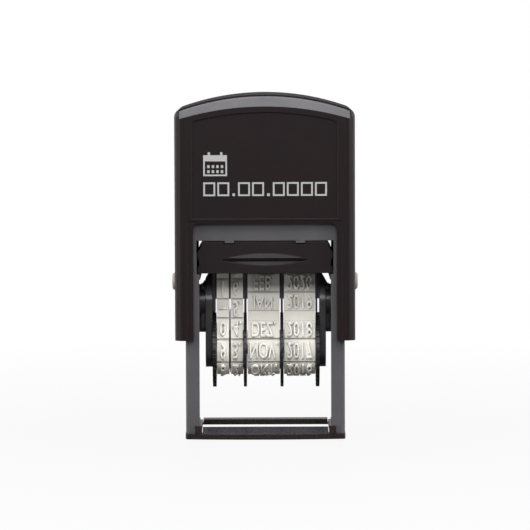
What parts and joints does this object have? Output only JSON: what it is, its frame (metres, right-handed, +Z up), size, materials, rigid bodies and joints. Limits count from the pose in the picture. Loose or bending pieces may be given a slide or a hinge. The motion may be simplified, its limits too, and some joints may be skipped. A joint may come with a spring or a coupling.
{
  "type": "rotary date stamp",
  "caption": "Hand-held self-inking date stamp: a sprung black cap swings a unit of rubber date belts from an ink pad down onto the paper.",
  "frame": {"origin": "middle of the foot's underside, on the paper", "axes": "+X to the right across the date line, +Y to the rear (front faces -Y), +Z up through the cap"},
  "size_m": [0.0402, 0.033, 0.0728],
  "materials": {
    "cap_black": "fine-textured moulded ABS",
    "cover_clear": "smoky cover, grey at its edges, with a dark film on top",
    "card_white": "paper card",
    "frame_grey": "fine-textured moulded plastic",
    "button_grey": "satin moulded plastic",
    "foot_black": "satin moulded plastic",
    "unit_black": "satin moulded plastic",
    "band_rubber": "warm grey type rubber",
    "wheel_black": "moulded plastic",
    "tray_black": "fine-textured moulded plastic",
    "ink_felt": "inked felt",
    "steel": "turned steel",
    "spring_steel": "spring wire"
  },
  "bodies": {
    "frame": {"base_frame": "frame_grey", "foot_frame": "foot_black", "return_spring": "spring_steel"},
    "cap": {"cap_shell": "cap_black", "index_cover": "cover_clear", "index_card": "card_white", "pivot_pin_left": "steel", "pivot_pin_right": "steel"},
    "date_unit": {"carrier_left": "unit_black", "carrier_right": "unit_black", "platen": "unit_black", "wheel_axle": "steel", "belt_divider": "unit_black", "tens_band": "band_rubber", "units_band": "band_rubber", "month_band": "band_rubber", "year_band": "band_rubber"},
    "tens_setting": {"tens_wheel": "wheel_black"},
    "units_setting": {"units_wheel": "wheel_black"},
    "month_setting": {"month_wheel": "wheel_black"},
    "year_setting": {"year_wheel": "wheel_black"},
    "cartridge": {"cartridge_tray": "tray_black", "ink_pad": "ink_felt"},
    "left_lock": {"lock_button_left": "button_grey"},
    "right_lock": {"lock_button_right": "button_grey"}
  },
  "joints": [
    {"name": "cap_slide", "type": "slide", "parent": "frame", "child": "cap", "axis": [0, 0, -1], "range_m": [0, 0.0195], "stiffness_N_per_m": 300, "springref_m": -0.01, "deforming": ["return_spring"]},
    {"name": "date_unit_swivel", "type": "hinge", "parent": "cap", "child": "date_unit", "pos_m": [0, 0, 0.0283], "axis": [1, 0, 0], "range_deg": [0, 180]},
    {"name": "cartridge_slide", "type": "slide", "parent": "frame", "child": "cartridge", "axis": [0, -1, 0], "range_m": [0, 0.036]},
    {"name": "left_lock_press", "type": "slide", "parent": "cap", "child": "left_lock", "axis": [1, 0, 0], "range_m": [0, 0.00045], "stiffness_N_per_m": 400, "springref_m": -0.0008},
    {"name": "right_lock_press", "type": "slide", "parent": "cap", "child": "right_lock", "axis": [-1, 0, 0], "range_m": [0, 0.00045], "stiffness_N_per_m": 400, "springref_m": -0.0008},
    {"name": "tens_wheel_spin", "type": "hinge", "parent": "date_unit", "child": "tens_setting", "pos_m": [0, 0, 0.0177], "axis": [1, 0, 0], "continuous": true},
    {"name": "units_wheel_spin", "type": "hinge", "parent": "date_unit", "child": "units_setting", "pos_m": [0, 0, 0.0177], "axis": [1, 0, 0], "continuous": true},
    {"name": "month_wheel_spin", "type": "hinge", "parent": "date_unit", "child": "month_setting", "pos_m": [0, 0, 0.0177], "axis": [1, 0, 0], "continuous": true},
    {"name": "year_wheel_spin", "type": "hinge", "parent": "date_unit", "child": "year_setting", "pos_m": [0, 0, 0.0177], "axis": [1, 0, 0], "continuous": true}
  ],
  "couplings": [
    {"joint": "date_unit_swivel", "follows": "cap_slide", "rad_per_m": 161.11}
  ]
}
